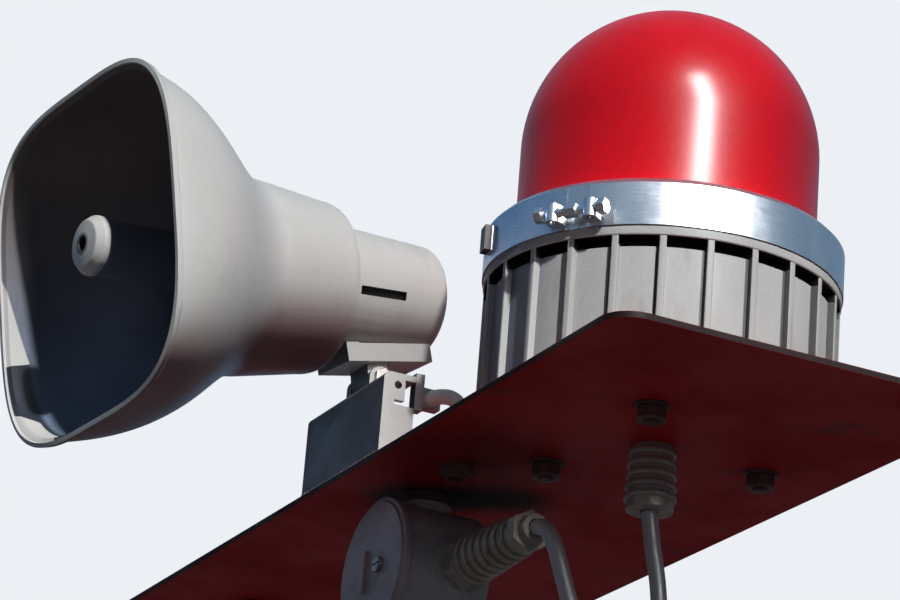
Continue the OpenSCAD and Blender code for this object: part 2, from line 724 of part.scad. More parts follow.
lift() deck_plate();
seat_pad();
lift() beacon_base();
lift() beacon_studs();
lift() clamp_band();
lift() clamp_screw();
lift() dome_gasket();
lift() beacon_dome();
lift() lamp_tray();
lift() lamp_holder();
lift() lamp_tube();
lift() beacon_gland();
lift() beacon_gland_nut();
lift() junction_box();
lift() box_nipple();
lift() box_lid();
lift() box_lid_screw();
lift() box_gland();
lift() box_gland_nut();
lift() loop_cable();
lift() stand_channel();
lift() stand_head();
lift() lead_block();
lift() horn_lead();
lift() lead_gland();
lift() horn_bell();
lift() horn_core();
lift() core_cap();
lift() driver_cover();
lift() foot_rail();
lift() foot_lug();
lift() pivot_bolt();
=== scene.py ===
import json
import math
import bmesh
import bpy
from mathutils import Matrix, Quaternion, Vector


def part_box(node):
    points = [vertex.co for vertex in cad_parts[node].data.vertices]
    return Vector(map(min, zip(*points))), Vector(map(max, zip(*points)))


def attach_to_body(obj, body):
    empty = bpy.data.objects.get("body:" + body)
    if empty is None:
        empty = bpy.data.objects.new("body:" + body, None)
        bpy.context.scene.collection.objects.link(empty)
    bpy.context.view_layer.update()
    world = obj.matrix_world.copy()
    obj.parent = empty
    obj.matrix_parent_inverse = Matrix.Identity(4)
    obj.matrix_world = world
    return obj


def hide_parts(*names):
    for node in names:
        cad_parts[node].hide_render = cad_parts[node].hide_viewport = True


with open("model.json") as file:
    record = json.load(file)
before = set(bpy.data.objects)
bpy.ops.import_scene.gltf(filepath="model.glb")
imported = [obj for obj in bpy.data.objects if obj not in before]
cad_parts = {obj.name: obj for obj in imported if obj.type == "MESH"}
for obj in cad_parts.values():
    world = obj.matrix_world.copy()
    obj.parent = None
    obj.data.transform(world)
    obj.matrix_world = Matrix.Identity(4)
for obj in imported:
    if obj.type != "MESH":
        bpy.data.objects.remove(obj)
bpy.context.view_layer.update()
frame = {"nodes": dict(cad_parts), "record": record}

# Head of a siren tower: deck, red beacon, horn loudspeaker, junction box and looped cable.
# All lengths are in metres, in the frame's own axes.

pivot = Vector(frame["record"]["behaviour"]["joints"][0]["pos_m"])


def middle(nodeName):
    low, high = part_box(nodeName)
    return (low + high) / 2


# a direction, from its azimuth and height in degrees
def toward(azimuth, height):
    turn, rise = math.radians(azimuth), math.radians(height)
    return Vector((math.cos(turn) * math.cos(rise), math.sin(turn) * math.cos(rise), math.sin(rise)))


def newObject(name, data):
    obj = bpy.data.objects.new(name, data)
    bpy.context.scene.collection.objects.link(obj)
    return obj


# the photograph's own viewpoint, looking up from below the deck
view = {
    "turn": 65.16, "rise": 21.22, "lean": 4.63,  # degrees
    "at": (2.3227, -0.9725, -0.6995),
    "lens": 142.5, "sensor": 36, "farthest": 300,
}


def placeCamera():
    ahead, right = toward(view["turn"] + 90, view["rise"]), toward(view["turn"], 0)
    up = right.cross(ahead)
    lean = math.radians(view["lean"])
    leanRight = right * math.cos(lean) + up * math.sin(lean)
    leanUp = up * math.cos(lean) - right * math.sin(lean)
    camera = newObject("viewCamera", bpy.data.cameras.new("viewCamera"))
    camera.data.lens = view["lens"]
    camera.data.sensor_width = view["sensor"]
    camera.data.clip_end = view["farthest"]
    turned = Matrix((leanRight, leanUp, -ahead)).transposed().to_4x4()
    camera.matrix_world = Matrix.Translation(view["at"]) @ turned
    bpy.context.scene.camera = camera


placeCamera()
print("camera placed")


# node trees: a wire is one output of a node, and can be reckoned with like a number
class Wire:
    def __init__(self, tree, socket):
        self.tree, self.socket = tree, socket

    def also(self, output):  # another output of the same node
        return Wire(self.tree, self.socket.node.outputs[output])

    def into(self, socket):
        self.tree.links.new(self.socket, socket)

    def __add__(self, other):
        return calc("ADD", self, other)

    def __sub__(self, other):
        return calc("SUBTRACT", self, other)

    def __rsub__(self, other):
        return calc("SUBTRACT", other, self)

    def __mul__(self, other):
        return calc("MULTIPLY", self, other)

    def __truediv__(self, other):
        return calc("DIVIDE", self, other)

    def __rtruediv__(self, other):
        return calc("DIVIDE", other, self)

    def __pow__(self, other):
        return calc("POWER", self, other)

    def __abs__(self):
        return calc("ABSOLUTE", self)

    __radd__ = __add__


# a new node, fed with numbers, colours and wires; gives one of its outputs
def addNode(tree, kind, inputs=None, output=0, **settings):
    made = tree.nodes.new(kind)
    for key, value in settings.items():
        setattr(made, key, value)
    for key, value in (inputs or {}).items():
        if isinstance(value, Wire):
            value.into(made.inputs[key])
        else:
            made.inputs[key].default_value = value
    return Wire(tree, made.outputs[output])


def calc(operation, *terms):
    tree = next(term.tree for term in terms if isinstance(term, Wire))
    return addNode(tree, "ShaderNodeMath", dict(enumerate(terms)), operation=operation)


def most(first, second):
    return calc("MAXIMUM", first, second)


def least(first, second):
    return calc("MINIMUM", first, second)


def radiusFrom(first, second):
    return (first ** 2.0 + second ** 2.0) ** 0.5


def vectorCalc(operation, first, second):
    key = "Scale" if operation == "SCALE" else 1
    output = "Value" if operation in ("DOT_PRODUCT", "DISTANCE") else 0
    return addNode(first.tree, "ShaderNodeVectorMath", {0: first, key: second}, output, operation=operation)


def ramp(value, low, high, start=0.0, end=1.0):
    inputs = {0: value, 1: low, 2: high, 3: start, 4: end}
    return addNode(value.tree, "ShaderNodeMapRange", inputs, interpolation_type="SMOOTHSTEP")


def blendColours(share, first, second):
    first, second = (c if isinstance(c, Wire) else (*c, 1) for c in (first, second))
    return addNode(share.tree, "ShaderNodeMix", {0: share, 6: first, 7: second}, 2, data_type="RGBA")


# how far a spot lies along a direction from a place, both fixed in the piece's own frame
def along(place, start, direction):
    return vectorCalc("DOT_PRODUCT", vectorCalc("SUBTRACT", place, tuple(start)), tuple(direction))


# finishes: a base coat, a second tone in soft patches, fine grain, and grime or wear where it gathers

# detail and roughness of each noise, and the values of noises and slopes between which they set in
noises = {"patches": (5, 0.6), "smears": (6, 0.7), "grain": (3, 0.6), "dust": (4, 0.55), "wear": (4, 0.55)}
setsIn = {
    "patches": (0.38, 0.68), "smears": (0.55, 0.72), "grain": (0.2, 0.8), "dust": (0.35, 0.7),
    "wear": (0.42, 0.6), "facingUp": (0.5, 0.95), "onEdge": (0.995, 0.9),
}
dustSize, wearSize = 0.03, 0.006
plainInputs = {"metal": "Metallic", "coat": "Coat Weight", "coatRough": "Coat Roughness",
               "through": "Transmission Weight", "ior": "IOR", "gloss": "Specular IOR Level"}


def noiseAt(place, kind, size, stretch=(1, 1, 1)):
    detail, rough = noises[kind]
    spread = addNode(place.tree, "ShaderNodeMapping",
                     {"Vector": place, "Scale": tuple(s / size for s in stretch)})
    return addNode(place.tree, "ShaderNodeTexNoise",
                   {"Vector": spread, "Scale": 1.0, "Detail": detail, "Roughness": rough})


def newMaterial(name):
    material = bpy.data.materials.new(name)
    material.use_nodes = True
    return material, material.node_tree, material.node_tree.nodes["Principled BSDF"].inputs


def makeFinish(name, look):
    material, tree, shader = newMaterial(name)
    place = addNode(tree, "ShaderNodeTexCoord", output="Object")
    stretch = look.get("stretch", (1, 1, 1))
    patches = ramp(noiseAt(place, "patches", look["patch"], stretch), *setsIn["patches"])
    colour = blendColours(patches * look["share"], look["colour"], look["second"])
    if "grime" in look:  # dark flecks and smears of a smaller size
        smears = ramp(noiseAt(place, "smears", look["grimeSize"], stretch), *setsIn["smears"])
        colour = blendColours(smears * look["grimeShare"], colour, look["grime"])
    if "dust" in look:  # settles on what faces up
        upward = addNode(tree, "ShaderNodeSeparateXYZ", {0: place.also("Normal")}, "Z")
        settled = ramp(upward, *setsIn["facingUp"]) * ramp(noiseAt(place, "dust", dustSize), *setsIn["dust"])
        colour = blendColours(settled * look["dustShare"], colour, look["dust"])
    if "worn" in look:  # bare edges
        soft = addNode(tree, "ShaderNodeBevel", {"Radius": look["wornWidth"]}, samples=4)
        hard = addNode(tree, "ShaderNodeNewGeometry", output="Normal")
        edge = ramp(vectorCalc("DOT_PRODUCT", soft, hard), *setsIn["onEdge"])
        edge = edge * ramp(noiseAt(place, "wear", wearSize), *setsIn["wear"])
        colour = blendColours(edge, colour, look["worn"])
    grain = noiseAt(place, "grain", look["grain"], look.get("grainStretch", (1, 1, 1)))
    lightness = ramp(grain, *setsIn["grain"], 1 - look["grainTone"], 1 + look["grainTone"])
    vectorCalc("SCALE", colour, lightness).into(shader["Base Color"])
    ramp(grain * 0.5 + patches * 0.5, *setsIn["grain"], *look["rough"]).into(shader["Roughness"])
    bump = {"Height": grain, "Strength": 1.0, "Distance": look["depth"]}
    addNode(tree, "ShaderNodeBump", bump).into(shader["Normal"])
    for key, socket in plainInputs.items():
        if key in look:
            shader[socket].default_value = look[key]
    return material


finishes = {
    "deckPaint": {
        "colour": (0.46, 0.016, 0.018), "second": (0.34, 0.012, 0.013), "patch": 0.11, "share": 0.8,
        "grime": (0.045, 0.02, 0.018), "grimeSize": 0.05, "grimeShare": 0.55,
        "dust": (0.32, 0.16, 0.14), "dustShare": 0.5, "worn": (0.10, 0.035, 0.02), "wornWidth": 0.0012,
        "grain": 0.0022, "grainTone": 0.10, "rough": (0.5, 0.7), "depth": 0.00025, "gloss": 0.12,
    },
    "baseCasting": {
        "colour": (0.52, 0.53, 0.515), "second": (0.44, 0.45, 0.44), "patch": 0.05, "share": 0.7,
        "stretch": (1, 1, 0.3), "grime": (0.25, 0.24, 0.22), "grimeSize": 0.02, "grimeShare": 0.35,
        "grain": 0.0016, "grainTone": 0.06, "rough": (0.42, 0.6), "depth": 0.00012, "gloss": 0.12,
    },
    "bandSteel": {
        "colour": (0.68, 0.70, 0.72), "second": (0.58, 0.60, 0.63), "patch": 0.04, "share": 0.7,
        "stretch": (1, 1, 0.5), "grain": 0.0005, "grainStretch": (0.04, 0.04, 1), "grainTone": 0.06,
        "rough": (0.27, 0.35), "depth": 0.00002, "metal": 1.0,
    },
    "fastenerSteel": {
        "colour": (0.42, 0.40, 0.38), "second": (0.24, 0.20, 0.17), "patch": 0.008, "share": 0.7,
        "grain": 0.0006, "grainTone": 0.12, "rough": (0.3, 0.55), "depth": 0.00005, "metal": 1.0,
    },
    # dark red-brown nut paint, made darker still as painted shade of the parts under the deck
    "nutPaint": {
        "colour": (0.13, 0.06, 0.052), "second": (0.07, 0.035, 0.03), "patch": 0.008, "share": 0.8,
        "grain": 0.0008, "grainTone": 0.12, "rough": (0.45, 0.65), "depth": 0.00006, "gloss": 0.3,
    },
    "blackRubber": {
        "colour": (0.03, 0.03, 0.03), "second": (0.05, 0.05, 0.048), "patch": 0.01, "share": 0.6,
        "grain": 0.0008, "grainTone": 0.15, "rough": (0.6, 0.8), "depth": 0.0001,
    },
    "domeRed": {
        "colour": (0.80, 0.004, 0.013), "second": (0.67, 0.003, 0.011), "patch": 0.06, "share": 0.7,
        "stretch": (1, 1, 0.4), "grain": 0.004, "grainTone": 0.05, "rough": (0.30, 0.40), "depth": 0.00004,
        "coat": 0.3, "coatRough": 0.2, "through": 0.08, "ior": 1.49, "gloss": 0.10,
    },
    "lampWhite": {
        "colour": (0.72, 0.71, 0.67), "second": (0.62, 0.60, 0.55), "patch": 0.02, "share": 0.5,
        "grain": 0.001, "grainTone": 0.04, "rough": (0.4, 0.55), "depth": 0.00005,
    },
    "lampGlass": {
        "colour": (0.94, 0.92, 0.87), "second": (0.9, 0.86, 0.8), "patch": 0.02, "share": 0.4,
        "grain": 0.003, "grainTone": 0.02, "rough": (0.08, 0.16), "depth": 0.00002, "through": 0.6,
    },
    "glandMetal": {
        "colour": (0.39, 0.33, 0.275), "second": (0.26, 0.21, 0.165), "patch": 0.012, "share": 0.7,
        "grime": (0.09, 0.05, 0.035), "grimeSize": 0.015, "grimeShare": 0.5,
        "grain": 0.0009, "grainTone": 0.12, "rough": (0.36, 0.6), "depth": 0.0001, "metal": 0.25,
    },
    "boxPaint": {
        "colour": (0.41, 0.42, 0.41), "second": (0.32, 0.33, 0.32), "patch": 0.04, "share": 0.7,
        "grime": (0.05, 0.04, 0.035), "grimeSize": 0.02, "grimeShare": 0.4,
        "grain": 0.0016, "grainTone": 0.08, "rough": (0.42, 0.6), "depth": 0.00015,
    },
    "lidPaint": {
        "colour": (0.46, 0.375, 0.395), "second": (0.34, 0.28, 0.295), "patch": 0.03, "share": 0.7,
        "grime": (0.11, 0.09, 0.09), "grimeSize": 0.02, "grimeShare": 0.4,
        "grain": 0.0014, "grainTone": 0.06, "rough": (0.36, 0.55), "depth": 0.00012,
    },
    "cableSheath": {
        "colour": (0.50, 0.49, 0.48), "second": (0.41, 0.40, 0.39), "patch": 0.03, "share": 0.6,
        "grain": 0.0012, "grainTone": 0.07, "rough": (0.4, 0.55), "depth": 0.00006,
    },
    "leadSheath": {
        "colour": (0.80, 0.80, 0.77), "second": (0.70, 0.69, 0.66), "patch": 0.02, "share": 0.6,
        "grain": 0.0012, "grainTone": 0.05, "rough": (0.4, 0.55), "depth": 0.00005,
    },
    "standPaint": {
        "colour": (0.44, 0.44, 0.425), "second": (0.37, 0.365, 0.35), "patch": 0.035, "share": 0.6,
        "grime": (0.26, 0.20, 0.16), "grimeSize": 0.014, "grimeShare": 0.35,
        "worn": (0.22, 0.13, 0.09), "wornWidth": 0.0006,
        "grain": 0.0014, "grainTone": 0.05, "rough": (0.4, 0.58), "depth": 0.0001,
    },
    "hornPlastic": {
        "colour": (0.60, 0.60, 0.575), "second": (0.53, 0.53, 0.50), "patch": 0.09, "share": 0.7,
        "grime": (0.38, 0.36, 0.32), "grimeSize": 0.03, "grimeShare": 0.3,
        "grain": 0.0012, "grainTone": 0.03, "rough": (0.34, 0.48), "depth": 0.00006,
    },
    "capPlastic": {
        "colour": (0.69, 0.69, 0.66), "second": (0.61, 0.61, 0.58), "patch": 0.02, "share": 0.7,
        "grime": (0.30, 0.26, 0.22), "grimeSize": 0.012, "grimeShare": 0.4,
        "grain": 0.0012, "grainTone": 0.03, "rough": (0.34, 0.48), "depth": 0.00006,
    },
    # the throat's dark plastic, made darker still as painted shade of the deep horn
    "throatDark": {
        "colour": (0.145, 0.150, 0.160), "second": (0.12, 0.123, 0.13), "patch": 0.05, "share": 0.7,
        "grain": 0.0012, "grainTone": 0.06, "rough": (0.45, 0.65), "depth": 0.00006, "gloss": 0.3,
    },
}
finishes["coverPlastic"] = finishes["hornPlastic"]
finish = {name: makeFinish(name, look) for name, look in finishes.items()}


# puts one more tone between a finish's colour and its shader
def tintBase(name, makeTint, *values):
    tree = finish[name].node_tree
    colour = tree.nodes["Principled BSDF"].inputs["Base Color"]
    place = Wire(tree, next(n for n in tree.nodes if n.type == "TEX_COORD").outputs["Object"])
    makeTint(place, Wire(tree, colour.links[0].from_socket), *values).into(colour)


# painted shade: faces turned towards a direction of the piece's own frame are darkened or tinted as if in
# shade
paintedShadeFacings = {  # direction, slope where it sets in, slope where it is full, tone
    "hornPlastic": ((0, 0, -1), 0.2, 0.85, (0.42, 0.19, 0.20)),  # painted shade on faces looking down, with a painted red glow from the deck below
    # painted shade on the cover's faces looking down
    "coverPlastic": ((0, 0, -1), 0.3, 0.95, (0.68, 0.61, 0.63)),
    # painted shade on the stand's face turned to -Y
    "standPaint": ((0, -1, 0), 0.5, 0.9, (0.20, 0.19, 0.25)),
    # painted bluish shade on the base's walls facing -Y
    "baseCasting": ((-0.26, -0.97, 0), 0.75, 0.97, (0.30, 0.33, 0.46)),
    # painted shade and a bluer painted reflection on the band's side facing -Y
    "bandSteel": ((-0.1, -1, 0), 0.75, 1.0, (0.5, 0.68, 0.95)),
    # painted shade on the dome's side turned towards (0.42, 0.91)
    "domeRed": ((0.42, 0.91, 0), 0.35, 0.95, (0.60, 0.9, 0.9)),
}


# darkens or tints faces by their direction: painted shade
def paintShadeByFacing(place, before, direction, start, end, tone):
    turned = vectorCalc("DOT_PRODUCT", place.also("Normal"), direction)
    return vectorCalc("MULTIPLY", before, blendColours(ramp(turned, start, end), (1, 1, 1), tone))


for name, values in paintedShadeFacings.items():
    tintBase(name, paintShadeByFacing, *values)

# painted shade: dark patches of painted shadow lie under the deck above the box, and the cut edges are near
# black
deckShade = {  # each spot: where it is, full within, gone beyond, share
    "spots": (((0.345, -0.072), 0.012, 0.042, 0.95), ((0.366, -0.046), 0.012, 0.038, 0.95),
              ((0.385, -0.022), 0.010, 0.040, 0.9), ((0.445, -0.085), 0.02, 0.10, 0.5)),
    "level": 0.006, "under": (0.004, 0.003, 0.003), "edge": (0.016, 0.003, 0.003),
    "facingDown": (-0.6, -0.9), "facingSide": (0.5, 0.2),
}


def paintDeckShade(place, before):
    upward = addNode(place.tree, "ShaderNodeSeparateXYZ", {0: place.also("Normal")}, "Z")
    below = ramp(upward, *deckShade["facingDown"])
    # each spot is painted shadow, only on faces looking down
    for (x, y), near, far, share in deckShade["spots"]:
        away = vectorCalc("DISTANCE", place, (x, y, deckShade["level"]))
        before = blendColours(ramp(away, far, near, 0.0, share) * below, before, deckShade["under"])
    return blendColours(ramp(abs(upward), *deckShade["facingSide"]), before, deckShade["edge"])


tintBase("deckPaint", paintDeckShade)

# the horn's own frame: Z runs forward along its axis
horn = {
    "tilt": 8.8, "turn": 8.4, "mouthLean": 2.0,  # degrees
    "axisRise": 0.0605, "reach": 0.207, "wall": 0.003, "edgeWidth": 0.0007, "edgeLimit": 50,
}


def makeHornFrame():
    tilt = Matrix.Rotation(math.radians(horn["tilt"]), 4, "X")
    turn = Matrix.Rotation(math.radians(horn["turn"]), 4, "Z")
    forward = Matrix.Rotation(math.radians(90), 4, "X")
    rise = Matrix.Translation((0, 0, horn["axisRise"]))
    return Matrix.Translation(pivot) @ tilt @ turn @ rise @ forward


hornFrame = makeHornFrame()
mouth = hornFrame @ Vector((0, 0, horn["reach"]))


# how far a spot lies beside, above and behind a point of the horn
def onHorn(place, point, roll=0.0):
    turned = hornFrame.to_3x3()
    side, up = (math.cos(roll), -math.sin(roll), 0), (math.sin(roll), math.cos(roll), 0)
    return [along(place, point, turned @ Vector(way)) for way in (side, up, (0, 0, -1))]


# painted light and shade in the throat: warm at the top, a bluish painted sky light low down where it looks
# up, and painted shade darkest low on the far side
throat = {
    "toneHeights": (-0.10, 0.09), "lowTone": (1.5, 1.9, 2.5), "highTone": (1.25, 1.0, 0.85),
    "farSide": (-0.01, -0.03), "farHeight": (-0.030, -0.038), "farDepth": (0.019, 0.014), "farShade": 0.84,
}


def paintThroatLightAndShade(place, before):
    t = throat
    side, height, depth = onHorn(place, mouth)
    tone = blendColours(ramp(height, *t["toneHeights"]), t["lowTone"], t["highTone"])
    far = ramp(side, *t["farSide"]) * ramp(height, *t["farHeight"]) * ramp(depth, *t["farDepth"])
    return vectorCalc("SCALE", vectorCalc("MULTIPLY", before, tone), 1.0 - far * t["farShade"])


# the throat's lip shows the light plastic; on the far side a painted sunlit wedge and a painted sunlit corner
# patch reach deeper
lipAndSunlitWedge = {
    "lip": 0.0012, "heights": (0.020, -0.040), "depth": 0.0165,
    "foot": (-0.044, -0.040), "side": (-0.06, -0.07),
    "cornerTop": (-0.076, -0.085), "cornerSide": (-0.044, -0.060), "cornerDepth": 0.013,
    "border": (-0.0006, 0.0006), "colour": (0.66, 0.65, 0.63),
}


def paintLipAndSunlitWedge(place, before):
    b = lipAndSunlitWedge
    side, height, depth = onHorn(place, mouth)
    top, low = b["heights"]
    wedge = addNode(place.tree, "ShaderNodeMapRange", {0: height, 1: top, 2: low, 3: 0.0, 4: b["depth"]})
    kept = ramp(height, *b["foot"]) * ramp(side, *b["side"])
    corner = ramp(height, *b["cornerTop"]) * ramp(side, *b["cornerSide"], 0.0, b["cornerDepth"])
    limit = most(most(wedge * kept, corner), b["lip"])
    return blendColours(ramp(limit - depth, *b["border"]), before, b["colour"])


# painted shade: the slot in the driver cover is painted black inside
slot = {
    "turn": 16.0,  # degrees
    "coverStart": 0.039, "coverRadius": 0.043, "taperStart": 0.005, "taper": 0.088, "sunk": (0.0004, 0.0008),
    "sides": (0.0032, 0.0029), "start": (0.0084, 0.0088), "end": (0.0461, 0.0457),
    "inside": (0.012, 0.012, 0.012),
}


def shadeSlot(place, before):
    s = slot
    foot = hornFrame @ Vector((0, 0, s["coverStart"]))
    out, aside, back = onHorn(place, foot, math.radians(s["turn"]))
    surface = s["coverRadius"] - (back - s["taperStart"]) * s["taper"]
    within = ramp(abs(aside), *s["sides"]) * (ramp(back, *s["start"]) * ramp(back, *s["end"]))
    return blendColours(ramp(surface - out, *s["sunk"]) * within, before, s["inside"])


# painted shade: the inner horn's cap is darkened round its hole, as the hole's shade
capHoleShade = {"reach": (0.0085, 0.005), "colour": (0.06, 0.045, 0.035)}


def shadeCapHole(place, before):
    side, height, _ = onHorn(place, middle("core_cap"))
    return blendColours(ramp(radiusFrom(side, height), *capHoleShade["reach"]), before, capHoleShade["colour"])


tintBase("throatDark", paintThroatLightAndShade)
tintBase("throatDark", paintLipAndSunlitWedge)
tintBase("coverPlastic", shadeSlot)
tintBase("capPlastic", shadeCapHole)
print("finishes made:", len(finish))


# meshes

def newPiece(name, mesh, material):
    mesh.materials.clear()
    mesh.materials.append(material)
    return newObject(name, mesh)


def settle(obj):
    graph = bpy.context.evaluated_depsgraph_get()
    mesh = bpy.data.meshes.new_from_object(obj.evaluated_get(graph))
    obj.modifiers.clear()
    obj.data = mesh
    mesh.name = obj.name


def softEdges(obj, width, steps=2, limit=32):
    obj.data.shade_smooth()
    bevel = obj.modifiers.new("softEdges", "BEVEL")
    bevel.width = width
    bevel.segments = steps
    bevel.limit_method = "ANGLE"
    bevel.angle_limit = math.radians(limit)
    obj.modifiers.new("evenNormals", "WEIGHTED_NORMAL").keep_sharp = True
    settle(obj)


def attach(obj, body, nodeName):
    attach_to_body(obj, body)
    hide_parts(nodeName)


# boxLid is made from the node box_lid
def nodeOf(name):
    return "".join("_" + letter.lower() if letter.isupper() else letter for letter in name)


sameSpot, sameNodeSpot = 1e-6, 2e-6
flatWithin = math.radians(0.6)


# nodes that keep their shape and get softened edges and even shading
def dress(body, pieces):
    for name, piece in pieces.items():
        mesh = frame["nodes"][nodeOf(name)].data.copy()
        build = bmesh.new()
        build.from_mesh(mesh)
        bmesh.ops.remove_doubles(build, verts=build.verts, dist=sameNodeSpot)
        bmesh.ops.dissolve_limit(build, angle_limit=flatWithin, verts=build.verts, edges=build.edges)
        build.to_mesh(mesh)
        build.free()
        obj = newPiece(name, mesh, finish[piece["finish"]])
        softEdges(obj, piece["edge"], piece.get("steps", 2))
        attach(obj, body, nodeOf(name))


# corners of an outline, each (radius, height, rounding)
def roundCorners(corners, steps=4):
    points = []
    for i, corner in enumerate(corners):
        here = Vector(corner[:2])
        if len(corner) < 3 or corner[2] == 0:
            points.append(here)
            continue
        before = Vector(corners[i - 1][:2]) - here
        after = Vector(corners[(i + 1) % len(corners)][:2]) - here
        reach = min(corner[2], before.length * 0.49, after.length * 0.49)  # two roundings never meet
        start, end = here + before.normalized() * reach, here + after.normalized() * reach
        for k in range(steps + 1):
            t = k / steps
            points.append(start * (1 - t) ** 2 + here * 2 * t * (1 - t) + end * t * t)
    return points


def meshFrom(build, name):
    mesh = bpy.data.meshes.new(name)
    build.to_mesh(mesh)
    build.free()
    return mesh


# turns a closed outline about Z
def latheMesh(name, outline, steps):
    build = bmesh.new()
    rings = []
    for k in range(steps):
        turn = 2 * math.pi * k / steps
        rings.append([build.verts.new((p[0] * math.cos(turn), p[0] * math.sin(turn), p[1])) for p in outline])
    for k in range(steps):
        here, there = rings[k], rings[(k + 1) % steps]
        for i in range(len(outline)):
            j = (i + 1) % len(outline)
            if max(outline[i][0], outline[j][0]) > sameSpot:
                build.faces.new((here[i], here[j], there[j], there[i]))
    bmesh.ops.remove_doubles(build, verts=build.verts, dist=sameSpot)
    bmesh.ops.dissolve_degenerate(build, edges=build.edges, dist=sameSpot)
    bmesh.ops.recalc_face_normals(build, faces=build.faces)
    return meshFrom(build, name)


def turnedPiece(name, corners, at, material, steps, sharp=40):
    mesh = latheMesh(name, roundCorners(corners), steps)
    mesh.transform(at)
    mesh.shade_smooth()
    mesh.set_sharp_from_angle(angle=math.radians(sharp))
    return newPiece(name, mesh, material)


# an upright prism with its end edges taken off, such as a nut
def prismMesh(name, sides, across, low, high, chamfer):
    outer = across / 2 / math.cos(math.pi / sides)
    inner, drop = outer - chamfer, chamfer * 0.6
    turns = [2 * math.pi * k / sides for k in range(sides)]
    build = bmesh.new()
    rings = []
    for z, radius in ((low, inner), (low + drop, outer), (high - drop, outer), (high, inner)):
        rings.append([build.verts.new((radius * math.cos(a), radius * math.sin(a), z)) for a in turns])
    for here, there in zip(rings, rings[1:]):
        for k in range(sides):
            build.faces.new((here[k], here[(k + 1) % sides], there[(k + 1) % sides], there[k]))
    build.faces.new(rings[0])
    build.faces.new(rings[-1])
    bmesh.ops.recalc_face_normals(build, faces=build.faces)
    return meshFrom(build, name)


def joinMeshes(name, meshes, material, sharp=35):
    build = bmesh.new()
    for mesh in meshes:
        build.from_mesh(mesh)
    whole = meshFrom(build, name)
    whole.shade_smooth()
    whole.set_sharp_from_angle(angle=math.radians(sharp))
    return newPiece(name, whole, material)


# looped cable: out of the junction box's gland, down, and up into the beacon's gland
cable = {
    "diameter": 0.010,
    "start": (0.501, -0.060, -0.050), "end": (0.530, 0, -0.035),
    "route": [(0, 0, 0), (9, 0, -2), (17, 1, -9), (23, 3, -21), (28, 6, -38), (33, 10, -56), (38, 18, -75),
              (41, 32, -90), (40, 49, -91), (37, 62, -78), (34, 68, -56), (32, 67, -30), (30, 63, -6),
              (29, 60, 15)],  # mm from the start
    "stepsBetween": 3, "curveSteps": 4, "roundSteps": 6,
}


# a smooth line through the marks of the route, stretched to meet both glands
def cableLine():
    start, end = Vector(cable["start"]), Vector(cable["end"])
    marks = [Vector(p) / 1000 for p in cable["route"]]
    last = len(marks) - 1
    marks = [start + p + (end - start - marks[-1]) * (k / last) for k, p in enumerate(marks)]
    line = []
    for k in range(last):
        a, b, c, d = (marks[min(max(k + j, 0), last)] for j in (-1, 0, 1, 2))
        for step in range(cable["stepsBetween"]):
            t = step / cable["stepsBetween"]
            bend = (2 * a - 5 * b + 4 * c - d) * t * t + (3 * b - a - 3 * c + d) * t ** 3
            line.append(0.5 * (2 * b + (c - a) * t + bend))
    return line + [marks[-1]]


def hangCable():
    line = cableLine()
    curve = bpy.data.curves.new("loopCable", "CURVE")
    curve.dimensions = "3D"
    spline = curve.splines.new("BEZIER")
    spline.bezier_points.add(len(line) - 1)
    for k, (point, here) in enumerate(zip(spline.bezier_points, line)):
        before, after = line[max(k - 1, 0)], line[min(k + 1, len(line) - 1)]
        point.co = here
        point.handle_left = here - (after - before) / 6
        point.handle_right = here + (after - before) / 6
    spline.resolution_u = cable["curveSteps"]
    curve.bevel_depth = cable["diameter"] / 2
    curve.bevel_resolution = cable["roundSteps"]
    curve.use_fill_caps = True
    curve.materials.append(finish["cableSheath"])
    obj = newObject("loopCable", curve)
    attach(obj, "deck", "loop_cable")
    length = sum((b - a).length for a, b in zip(line, line[1:]))
    print(f"cable hung: {length:.3f} m")


hangCable()


# grown pieces: a node tree with named sizes makes the mesh
def makeTree(name, fields, shape):
    tree = bpy.data.node_groups.new(name, "GeometryNodeTree")
    tree.interface.new_socket(name="Geometry", in_out="INPUT", socket_type="NodeSocketGeometry")
    tree.interface.new_socket(name="Geometry", in_out="OUTPUT", socket_type="NodeSocketGeometry")
    kinds = {int: "NodeSocketInt", float: "NodeSocketFloat"}
    keys = {}
    for label, value in fields.items():
        kind = kinds.get(type(value), "NodeSocketMaterial" if label == "Finish" else "NodeSocketObject")
        socket = tree.interface.new_socket(name=label, in_out="INPUT", socket_type=kind)
        if value is not None:
            socket.default_value = value
        keys[label] = socket.identifier
    inputs = tree.nodes.new("NodeGroupInput").outputs
    sizes = {label: Wire(tree, inputs[label]) for label in fields}
    plain = addNode(tree, "GeometryNodeRealizeInstances", {0: shape(tree, sizes)})
    smooth = addNode(tree, "GeometryNodeSetShadeSmooth", {"Geometry": plain, "Shade Smooth": True})
    dressed = addNode(tree, "GeometryNodeSetMaterial", {"Geometry": smooth, "Material": sizes["Finish"]})
    dressed.into(tree.nodes.new("NodeGroupOutput").inputs[0])
    return tree, keys


def grow(name, grown, values, at):
    tree, keys = grown
    obj = newObject(name, bpy.data.meshes.new(name))
    modifier = obj.modifiers.new(name, "NODES")
    modifier.node_group = tree
    for label, value in values.items():
        modifier[keys[label]] = value
    settle(obj)
    obj.data.transform(at)
    return obj


def roundedBar(tree, width, height, rounding, steps):
    section = addNode(tree, "GeometryNodeCurvePrimitiveQuadrilateral", {"Width": width, "Height": height},
                      mode="RECTANGLE")
    return addNode(tree, "GeometryNodeFilletCurve", {"Curve": section, "Radius": rounding, "Count": steps},
                   mode="POLY")


